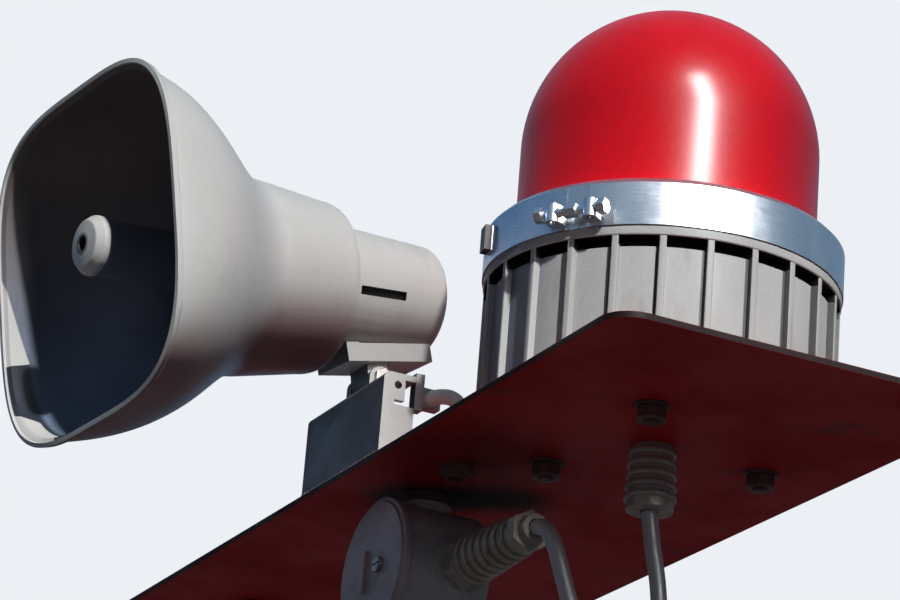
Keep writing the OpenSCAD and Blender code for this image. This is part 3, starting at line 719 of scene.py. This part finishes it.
# copies of a piece round a circle, each turned with its place
def roundCircle(tree, piece, sizes):
    circle = addNode(tree, "GeometryNodeMeshCircle", {"Vertices": sizes["Count"], "Radius": sizes["Radius"]})
    turn = addNode(tree, "GeometryNodeInputIndex") * (2 * math.pi / sizes["Count"])
    facing = addNode(tree, "ShaderNodeCombineXYZ", {2: turn})
    copies = addNode(tree, "GeometryNodeInstanceOnPoints",
                     {"Points": circle, "Instance": piece, "Rotation": facing})
    swing = addNode(tree, "ShaderNodeCombineXYZ", {2: sizes["Start Turn"]})
    return addNode(tree, "GeometryNodeTransform", {"Geometry": copies, "Rotation": swing})


def copyShape(tree, sizes):
    piece = addNode(tree, "GeometryNodeObjectInfo", {"Object": sizes["Piece"]}, "Geometry")
    return roundCircle(tree, piece, sizes)


# fins standing round the base
def finShape(tree, sizes):
    bar = roundedBar(tree, sizes["Fin Depth"], sizes["Fin Thickness"], sizes["Edge Rounding"], 3)
    top = addNode(tree, "ShaderNodeCombineXYZ", {2: sizes["Fin Height"]})
    line = addNode(tree, "GeometryNodeCurvePrimitiveLine", {"Start": (0, 0, 0), "End": top}, mode="POINTS")
    fin = addNode(tree, "GeometryNodeCurveToMesh", {"Curve": line, "Profile Curve": bar, "Fill Caps": True})
    return roundCircle(tree, fin, sizes)


# rounded rings along a sleeve, growing or shrinking evenly
def ringShape(tree, sizes):
    first, depth, height = sizes["First Radius"], sizes["Ring Depth"], sizes["Ring Height"]
    bar = roundedBar(tree, depth, height, height * sizes["Rounding Share"], 4)
    inset = 1.0 - depth * 0.5 / first
    circle = addNode(tree, "GeometryNodeCurvePrimitiveCircle", {"Resolution": 64, "Radius": first * inset},
                     mode="RADIUS")
    ring = addNode(tree, "GeometryNodeCurveToMesh", {"Curve": circle, "Profile Curve": bar})
    step = addNode(tree, "ShaderNodeCombineXYZ", {2: sizes["Pitch"]})
    line = addNode(tree, "GeometryNodeMeshLine", {"Count": sizes["Count"], "Offset": step}, mode="OFFSET")
    share = addNode(tree, "GeometryNodeInputIndex") / sizes["Count"]
    wide = 1.0 + share * (sizes["Last Radius"] / first - 1.0)
    scale = addNode(tree, "ShaderNodeCombineXYZ", {0: wide, 1: wide, 2: 1.0})
    return addNode(tree, "GeometryNodeInstanceOnPoints", {"Points": line, "Instance": ring, "Scale": scale})


# overlapping beads of a weld along a straight line
def weldShape(tree, sizes):
    step = addNode(tree, "ShaderNodeCombineXYZ", {0: sizes["Spacing"]})
    line = addNode(tree, "GeometryNodeMeshLine", {"Count": sizes["Count"], "Offset": step}, mode="OFFSET")
    ball = addNode(tree, "GeometryNodeMeshUVSphere",
                   {"Segments": 10, "Rings": 6, "Radius": sizes["Bead Radius"]})
    swell = addNode(tree, "FunctionNodeRandomValue",
                    {2: 1.0 - sizes["Unevenness"], 3: 1.0, "Seed": sizes["Seed"]}, 1, data_type="FLOAT")
    size = addNode(tree, "ShaderNodeCombineXYZ", {0: swell * sizes["Overlap"], 1: swell, 2: swell})
    return addNode(tree, "GeometryNodeInstanceOnPoints", {"Points": line, "Instance": ball, "Scale": size})


# the bell: a square bowl that eases into a round neck, a slightly tapered cup and a back wall
bellRule = {
    "seam": 0.625, "backStart": 0.9, "flarePower": 3.1, "bowlPower": 2.4, "squarePower": 2.8,
    "shoulder": 0.007, "shoulderCurve": 30.0, "lipEnds": (0.0034, 0.0052),
}


def bellShape(tree, sizes):
    s, b = sizes, bellRule
    grid = addNode(tree, "GeometryNodeMeshGrid",
                   {"Size X": 1.0, "Size Y": 1.0, "Vertices X": s["Around"], "Vertices Y": s["Along"]})
    spot = addNode(tree, "ShaderNodeSeparateXYZ", {0: addNode(tree, "GeometryNodeInputPosition")})
    turn = (spot + b["seam"]) * (2 * math.pi)
    part = spot.also("Y") + 0.5  # 0 at the mouth, 1 in the middle of the back wall
    depth = least(part / b["backStart"], 1.0) * s["Bell Length"]
    closing = most((part - b["backStart"]) / (1 - b["backStart"]), 0.0)
    flare = least(depth / s["Flare Length"], 1.0)
    bowl = (1.0 - flare ** b["flarePower"]) ** b["bowlPower"]
    radius = s["Neck Radius"] + (s["Mouth Half Width"] - s["Lip"] - s["Neck Radius"]) * bowl
    shoulderStart = s["Bell Length"] - b["shoulder"]
    cup = (depth - s["Flare Length"]) / (shoulderStart - s["Flare Length"])
    radius = radius - least(most(cup, 0.0), 1.0) * s["Cup Taper"]
    past = most(depth - shoulderStart, 0.0)
    radius = radius - past * past * b["shoulderCurve"]
    radius = radius + s["Lip"] * ramp(depth, *b["lipEnds"], 1.0, 0.0)
    radius = radius * (1.0 - closing) + s["Core Radius"] * closing
    front = most(1.0 - depth / s["Flare Length"], 0.0)
    exponent = 2.0 / (2.0 + (s["Squareness"] - 2.0) * front ** b["squarePower"])

    def across(wave):
        value = calc(wave, turn)
        return radius * (calc("SIGN", value) * abs(value) ** exponent)

    place = addNode(tree, "ShaderNodeCombineXYZ",
                    {0: across("COSINE"), 1: across("SINE"), 2: s["Reach"] - depth})
    shaped = addNode(tree, "GeometryNodeSetPosition", {"Geometry": grid, "Position": place})
    return addNode(tree, "GeometryNodeMergeByDistance", {"Geometry": shaped, "Distance": 1e-5})


finTree = makeTree("finsRoundBase", {
    "Finish": None, "Count": 24, "Radius": 0.1, "Start Turn": 0.0, "Fin Height": 0.085, "Fin Depth": 0.014,
    "Fin Thickness": 0.0045, "Edge Rounding": 0.0009}, finShape)
roundTree = makeTree("copiesRoundCircle", {
    "Finish": None, "Piece": None, "Count": 3, "Radius": 0.076, "Start Turn": 0.0}, copyShape)
ringTree = makeTree("ringsAlongSleeve", {
    "Finish": None, "Count": 5, "First Radius": 0.0145, "Last Radius": 0.0165, "Pitch": 0.007,
    "Ring Height": 0.0039, "Ring Depth": 0.004, "Rounding Share": 0.32}, ringShape)
bellTree = makeTree("bellSurface", {
    "Finish": None, "Around": 180, "Along": 110, "Mouth Half Width": 0.11, "Squareness": 3.6,
    "Neck Radius": 0.063, "Flare Length": 0.112, "Bell Length": 0.168, "Cup Taper": 0.007, "Lip": 0.0025,
    "Core Radius": 0.0183, "Reach": horn["reach"]}, bellShape)
weldTree = makeTree("weldBeads", {
    "Finish": None, "Count": 60, "Spacing": 0.0019, "Bead Radius": 0.0011, "Overlap": 1.35,
    "Unevenness": 0.25, "Seed": 4}, weldShape)
print("trees made")

# the deck and its seat
deckDress = {"slot": "deck_red", "finish": "deckPaint", "edge": 0.0007}
dress("deck", {"deckPlate": deckDress, "seatPad": deckDress})
print("deck dressed")

# the beacon
beaconAt = Vector((middle("beacon_base").x, middle("beacon_base").y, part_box("beacon_base")[0].z))
onDeck = Matrix.Translation(beaconAt)
underDeck = Matrix.Translation((beaconAt.x, beaconAt.y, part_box("deck_plate")[0].z))
base = {
    "radius": 0.110, "wallRadius": 0.105, "grooveRadius": 0.098, "boreRadius": 0.093, "height": 0.096,
    "footHeight": 0.008, "rimHeight": 0.006, "slotHeight": 0.0055, "flangeRadius": 0.107,
    "flangeHeight": 0.010, "threadRadius": 0.011,
    "finCount": 24, "finTurn": 1.0, "finThickness": 0.0045, "finInset": 0.0006,
    "finRoot": 0.002, "finRounding": 0.0009, "footInset": 0.0005, "overlap": 0.001, "sharp": 40, "steps": 192,
}


def makeBase():
    b = base
    rimZ = b["height"] - b["rimHeight"]
    slotZ, top = rimZ - b["slotHeight"], b["height"] + b["flangeHeight"]
    foot = b["radius"] - b["footInset"]
    core = turnedPiece("baseCasting", [
        (b["threadRadius"], 0, 0), (foot, 0, 0.0008), (foot, b["footHeight"], 0.0015),
        (b["wallRadius"], b["footHeight"], 0.0012), (b["wallRadius"], slotZ, 0.0008),
        (b["grooveRadius"], slotZ, 0.001), (b["grooveRadius"], rimZ, 0.0008),
        (b["radius"], rimZ, 0.0008), (b["radius"], b["height"], 0.0006),
        (b["flangeRadius"], b["height"], 0.0003), (b["flangeRadius"], top, 0.0005),
        (b["boreRadius"], top, 0.0005), (b["boreRadius"], b["footHeight"], 0.004),
        (b["threadRadius"], b["footHeight"], 0)], onDeck, finish["baseCasting"], b["steps"])
    attach(core, "deck", "beacon_base")
    inner, outer = b["grooveRadius"] - b["finRoot"], b["radius"] - b["finInset"]
    fins = grow("baseFins", finTree, {
        "Finish": finish["baseCasting"], "Count": b["finCount"], "Radius": (inner + outer) / 2,
        "Start Turn": math.radians(b["finTurn"]), "Fin Height": rimZ + b["overlap"],
        "Fin Depth": outer - inner, "Fin Thickness": b["finThickness"], "Edge Rounding": b["finRounding"],
    }, onDeck)
    fins.data.set_sharp_from_angle(angle=math.radians(b["sharp"]))
    attach(fins, "deck", "beacon_base")


# painted shade: the slots behind the rim are painted near black, and a painted shadow lies in the lee of each
# fin
slots = {
    "sunk": (0.0008, 0.0012), "low": (-0.0004, 0.0002), "high": (0.0004, 0.0001),
    "leeStart": (0.085, 0.06), "leeEnd": (0.022, 0.012), "leeShare": 0.85,
    "inside": (0.006, 0.006, 0.007), "lee": (0.05, 0.05, 0.052),
}


def shadeSlots(place, before):
    b, s = base, slots
    slotZ = beaconAt.z + b["height"] - b["rimHeight"] - b["slotHeight"]
    span = 2 * math.pi / b["finCount"]
    x, y = along(place, beaconAt, (1, 0, 0)), along(place, beaconAt, (0, 1, 0))
    turn = calc("ARCTAN2", y, x) - (math.radians(b["finTurn"]) - 2 * math.pi)
    turn = calc("FRACT", turn / span)
    finEdge = 1 - b["finThickness"] / 2 / b["radius"] / span
    height = along(place, (0, 0, slotZ), (0, 0, 1))
    deep = ramp(radiusFrom(x, y), *(b["radius"] - sunk for sunk in s["sunk"]))
    within = ramp(height, *s["low"]) * ramp(height, *(b["slotHeight"] + blur for blur in s["high"]))
    lee = ramp(turn, *(finEdge - start for start in s["leeStart"]), 0.0, s["leeShare"])
    lee = lee * ramp(turn, *(finEdge + end for end in s["leeEnd"])) * deep
    lee = lee * ramp(height, 0.0, s["low"][0])
    return blendColours(deep * within, blendColours(lee, before, s["lee"]), s["inside"])


tintBase("baseCasting", shadeSlots)
makeBase()

dome = {"radius": 0.093, "wall": 0.004, "rimRadius": 0.107, "rimStep": 0.005, "belowBand": 0.0035,
        "arcStep": 3, "steps": 192}


def makeDome():
    low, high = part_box("beacon_dome")
    rise = high.z - low.z - dome["radius"]
    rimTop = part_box("clamp_band")[1].z - dome["belowBand"] - low.z
    arc = [math.radians(a) for a in range(0, 91, dome["arcStep"])]
    r, inner, rim, step = dome["radius"], dome["radius"] - dome["wall"], dome["rimRadius"], dome["rimStep"]
    outline = [(inner, 0, 0), (rim, 0, 0.0006), (rim, rimTop - step, 0.001), (rim - step, rimTop, 0.001),
               (r, rimTop, 0.001)]
    outline += [(r * math.cos(a), rise + r * math.sin(a)) for a in arc]
    outline += [(inner * math.cos(a), rise + inner * math.sin(a)) for a in reversed(arc)]
    foot = Matrix.Translation((beaconAt.x, beaconAt.y, low.z))
    shell = turnedPiece("beaconDome", outline, foot, finish["domeRed"], dome["steps"])
    attach(shell, "deck", "beacon_dome")


makeDome()

# the band's catch is stained brown, and its cut ends above the loops are painted dark as shade
bandStainAndShade = {
    "catchTurn": -101.0, "clampTurn": -57.0,  # degrees
    "radius": 0.111, "proud": 0.0008, "catchHalf": (0.008, 0.006), "catch": (0.008, 0.0072, 0.0068),
    "loopTop": 0.1205, "loopBlur": 0.0004, "endFacing": (0.25, 0.5), "endReach": (0.016, 0.012),
    "end": (0.06, 0.065, 0.07),
}


def markBandStainAndShade(place, before):
    m = bandStainAndShade
    a, c = math.radians(m["catchTurn"]), math.radians(m["clampTurn"])
    proud = along(place, beaconAt, (math.cos(a), math.sin(a), 0))
    beside = abs(along(place, beaconAt, (-math.sin(a), math.cos(a), 0)))
    onCatch = ramp(proud, m["radius"], m["radius"] + m["proud"]) * ramp(beside, *m["catchHalf"])
    endWay = (-math.sin(c), math.cos(c), 0)
    facing = abs(vectorCalc("DOT_PRODUCT", place.also("Normal"), endWay))
    onEnd = ramp(facing, *m["endFacing"]) * ramp(abs(along(place, beaconAt, endWay)), *m["endReach"])
    above = ramp(along(place, (0, 0, m["loopTop"]), (0, 0, 1)), -m["loopBlur"], m["loopBlur"])
    return blendColours(onEnd * above, blendColours(onCatch, before, m["catch"]), m["end"])


tintBase("bandSteel", markBandStainAndShade)
dress("deck", {
    "clampBand": {"slot": "band_metal", "finish": "bandSteel", "edge": 0.0005, "steps": 3},
    "clampScrew": {"slot": "fastener_steel", "finish": "bandSteel", "edge": 0.0004},
    "domeGasket": {"slot": "gasket_rubber", "finish": "blackRubber", "edge": 0.0005},
    "lampTray": {"slot": "lamp_white", "finish": "lampWhite", "edge": 0.0005},
    "lampHolder": {"slot": "lamp_white", "finish": "lampWhite", "edge": 0.0008},
    "lampTube": {"slot": "lamp_glass", "finish": "lampGlass", "edge": 0.0003},
})

# three studs hold the base down, each with a washer and a nut below and a nut above
stud = {
    "count": 3, "firstTurn": 90.0, "circle": 0.076, "radius": 0.005, "below": 0.012, "footTop": 0.012,
    "washerRadius": 0.0105, "washerThickness": 0.002, "nutSides": 6, "nutAcross": 0.017, "nutBelow": 0.010,
    "nutAbove": 0.0185, "lowerChamfer": 0.0011, "upperChamfer": 0.0009, "overlap": 0.001,
}


def makeStuds():
    s = stud
    top, thin = s["footTop"] + s["overlap"], s["washerThickness"]
    rod = latheMesh("studRod", roundCorners([
        (0, -s["below"], 0), (s["radius"], -s["below"], 0.001), (s["radius"], top, 0.0005), (0, top, 0)]), 32)
    washer = latheMesh("studWasher", roundCorners([
        (s["radius"], -thin, 0), (s["washerRadius"], -thin, 0.0006), (s["washerRadius"], 0, 0),
        (s["radius"], 0, 0)]), 40)
    sides, across = s["nutSides"], s["nutAcross"]
    lower = prismMesh("lowerNut", sides, across, -s["nutBelow"], -thin, s["lowerChamfer"])
    upper = prismMesh("upperNut", sides, across, s["footTop"], s["nutAbove"], s["upperChamfer"])
    one = joinMeshes("studOne", [rod, washer, lower, upper], finish["nutPaint"])
    copies = grow("beaconStuds", roundTree, {
        "Finish": finish["nutPaint"], "Piece": one, "Count": s["count"], "Radius": s["circle"],
        "Start Turn": math.radians(s["firstTurn"])}, underDeck)
    bpy.data.objects.remove(one)
    attach(copies, "deck", "beacon_studs")


makeStuds()
print("beacon made")

# the glands: a ringed sleeve along Z whose radius goes from first to last
sleeve = {
    "wall": 0.002, "bore": 0.0053, "thread": 0.0108, "bareEnd": 0.003, "ringDepth": 0.004, "ringShare": 0.55,
    "sharp": 50, "steps": 64,
}
glands = {
    "beaconGland": {"first": 0.0145, "last": 0.0165, "length": 0.041, "rings": 5, "threadLength": 0.022},
    "boxGland": {"first": 0.0165, "last": 0.0125, "length": 0.069, "rings": 7, "threadLength": 0.0225},
}
collar = {"sides": 6, "across": 0.029, "length": 0.012, "chamfer": 0.0012}


def makeSleeve(name, at):
    s, g, metal = sleeve, glands[name], finish["glandMetal"]
    first, last, length, threadLow = g["first"], g["last"], g["length"], -g["threadLength"]
    core = turnedPiece(name + "Sleeve", [
        (s["bore"], threadLow, 0), (s["thread"], threadLow, 0.0006), (s["thread"], 0, 0),
        (first - s["wall"], 0, 0.0004), (last - s["wall"], length, 0.001), (s["bore"], length, 0.0005)],
        at, metal, s["steps"])
    attach(core, "deck", nodeOf(name))
    pitch = (length - 2 * s["bareEnd"]) / g["rings"]
    slope = (last - first) / length
    ringHeight, firstRing = pitch * s["ringShare"], first + slope * s["bareEnd"]
    rings = grow(name + "Rings", ringTree, {
        "Finish": metal, "Count": g["rings"], "First Radius": firstRing,
        "Last Radius": firstRing + slope * pitch * g["rings"], "Pitch": pitch, "Ring Height": ringHeight,
        "Ring Depth": s["ringDepth"]}, at @ Matrix.Translation((0, 0, s["bareEnd"] + ringHeight / 2)))
    rings.data.set_sharp_from_angle(angle=math.radians(s["sharp"]))
    attach(rings, "deck", nodeOf(name))


def makeGlands():
    makeSleeve("beaconGland", underDeck @ Matrix.Rotation(math.pi, 4, "X"))
    low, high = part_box("box_gland_nut")
    foot = Vector((low.x - glands["boxGland"]["length"], (low.y + high.y) / 2, (low.z + high.z) / 2))
    sideways = Matrix.Translation(foot) @ Matrix.Rotation(math.pi / 2, 4, "Y")
    makeSleeve("boxGland", sideways)
    c = collar
    mesh = prismMesh("boxGlandCollar", c["sides"], c["across"], -c["length"], 0, c["chamfer"])
    mesh.transform(sideways)
    attach(joinMeshes("boxGlandCollar", [mesh], finish["glandMetal"]), "deck", "box_gland")


makeGlands()
dress("deck", {
    "beaconGlandNut": {"slot": "gland_metal", "finish": "glandMetal", "edge": 0.0006},
    "boxGlandNut": {"slot": "gland_metal", "finish": "glandMetal", "edge": 0.0007},
    # the nipple and the lead's gland take the dark nut paint as painted shade under the deck
    "boxNipple": {"slot": "gland_metal", "finish": "nutPaint", "edge": 0.0006},
    "leadGland": {"slot": "gland_metal", "finish": "nutPaint", "edge": 0.0005},
})
print("glands made")

# the junction box
dress("deck", {
    "junctionBox": {"slot": "box_grey", "finish": "boxPaint", "edge": 0.0025, "steps": 4},
    "boxLid": {"slot": "lid_grey", "finish": "lidPaint", "edge": 0.0012, "steps": 3},
    "boxLidScrew": {"slot": "fastener_steel", "finish": "fastenerSteel", "edge": 0.0004},
})
print("junction box made")

# the stand, with a weld along its foot
standDress = {"slot": "stand_grey", "finish": "standPaint", "edge": 0.0006}
dress("deck", {"standChannel": standDress})
weld = {"spacing": 0.0019, "fromEnd": 0.001, "proud": 0.0002}


def weldFoot():
    low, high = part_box("stand_channel")
    count = int((high.x - low.x) / weld["spacing"])
    start = low + Vector((weld["fromEnd"], weld["proud"], weld["proud"]))
    beads = grow("standWeld", weldTree, {"Finish": finish["standPaint"], "Count": count},
                 Matrix.Translation(start))
    attach(beads, "deck", "stand_channel")


weldFoot()
dress("deck", {
    "standHead": standDress,
    "leadBlock": standDress,
    "hornLead": {"slot": "cable_grey", "finish": "leadSheath", "edge": 0.0002},
    "pivotBolt": {"slot": "fastener_steel", "finish": "fastenerSteel", "edge": 0.0005},
})
print("stand made")


# the horn: the bell's wall grows inwards from its outer surface, and the throat is dark, partly as painted
# shade
def makeBell():
    lean = Matrix.Rotation(math.radians(horn["mouthLean"]), 4, "Z")
    bell = grow("hornBell", bellTree, {"Finish": finish["hornPlastic"]}, Matrix())
    build = bmesh.new()
    build.from_mesh(bell.data)
    bmesh.ops.recalc_face_normals(build, faces=build.faces)
    build.to_mesh(bell.data)
    build.free()
    bell.data.materials.append(finish["throatDark"])
    wall = bell.modifiers.new("wall", "SOLIDIFY")
    wall.thickness = horn["wall"]
    wall.offset = -1
    wall.use_even_offset = True
    wall.material_offset = 1
    settle(bell)
    softEdges(bell, horn["edgeWidth"], limit=horn["edgeLimit"])
    bell.data.transform(hornFrame @ lean)
    attach(bell, "horn", "horn_bell")


makeBell()
dress("horn", {
    "hornCore": {"slot": "horn_dark", "finish": "throatDark", "edge": 0.0008},
    "coreCap": {"slot": "horn_grey", "finish": "capPlastic", "edge": 0.0008},
    "driverCover": {"slot": "horn_grey", "finish": "coverPlastic", "edge": 0.0006},
    "footRail": {"slot": "stand_grey", "finish": "standPaint", "edge": 0.0008},
    "footLug": standDress,
})
print("horn made")

# the studio: azimuths, heights, spreads and lean in degrees
studio = {
    "sunAzimuth": -4.0, "sunHeight": 35.0, "sunPower": 3.2, "sunSpread": 2.0,
    "backAzimuth": 168.0, "backHeight": 34.0, "backPower": 1.3, "backSpread": 30.0,
    "stripAzimuth": -3.4, "stripHeight": 26.0, "stripLean": 11.0, "stripAway": 3.0, "stripSize": (0.6, 2.2),
    "stripPower": 320.0,
    "skyColour": (0.84, 0.87, 0.91), "skyFill": (0.045, 0.055, 0.08), "mirrorColour": (0.14, 0.24, 0.36),
    "floorColour": (0.80, 0.81, 0.82), "floorBounce": (0.100, 0.092, 0.096), "floorRough": 0.9,
    "floorDrop": 9.0, "floorSize": 240.0,
}


def hangLamps():
    s = studio
    for name in ("sun", "back"):
        lamp = newObject(name + "Lamp", bpy.data.lights.new(name + "Lamp", "SUN"))
        lamp.data.energy = s[name + "Power"]
        lamp.data.angle = math.radians(s[name + "Spread"])
        lamp.visible_glossy = lamp.visible_transmission = False
        aim = toward(s[name + "Azimuth"], s[name + "Height"])
        lamp.rotation_euler = aim.to_track_quat("Z", "Y").to_euler()
    strip = newObject("stripLamp", bpy.data.lights.new("stripLamp", "AREA"))
    strip.data.shape = "RECTANGLE"
    strip.data.size, strip.data.size_y = s["stripSize"]
    strip.data.energy = s["stripPower"]
    aim = toward(s["stripAzimuth"], s["stripHeight"])
    lean = Quaternion((0, 0, 1), math.radians(s["stripLean"]))
    strip.location = middle("beacon_dome") + aim * s["stripAway"]
    strip.rotation_euler = (aim.to_track_quat("Z", "Y") @ lean).to_euler()
    strip.visible_camera = strip.visible_diffuse = strip.visible_transmission = False


# the camera sees a pale sky and floor, and metal mirrors a bluer sky
def makeSurroundings():
    s = studio
    world = bpy.data.worlds.new("sky")
    bpy.context.scene.world = world
    world.use_nodes = True
    tree = world.node_tree
    seen = addNode(tree, "ShaderNodeLightPath", output="Is Camera Ray")
    unseen = blendColours(seen.also("Is Glossy Ray"), s["skyFill"], s["mirrorColour"])
    blendColours(seen, unseen, s["skyColour"]).into(tree.nodes["Background"].inputs[0])

    half = s["floorSize"] / 2
    mesh = bpy.data.meshes.new("paleFloor")
    corners = [(x * half, y * half, -s["floorDrop"]) for x, y in ((-1, -1), (1, -1), (1, 1), (-1, 1))]
    mesh.from_pydata(corners, [], [(0, 1, 2, 3)])
    material, tree, shader = newMaterial("paleFloor")
    shader["Roughness"].default_value = s["floorRough"]
    seen = addNode(tree, "ShaderNodeLightPath", output="Is Camera Ray")
    blendColours(seen, s["floorBounce"], s["floorColour"]).into(shader["Base Color"])
    newPiece("paleFloor", mesh, material)


hangLamps()
makeSurroundings()
bpy.context.scene.view_settings.view_transform = "Standard"
print("studio set")
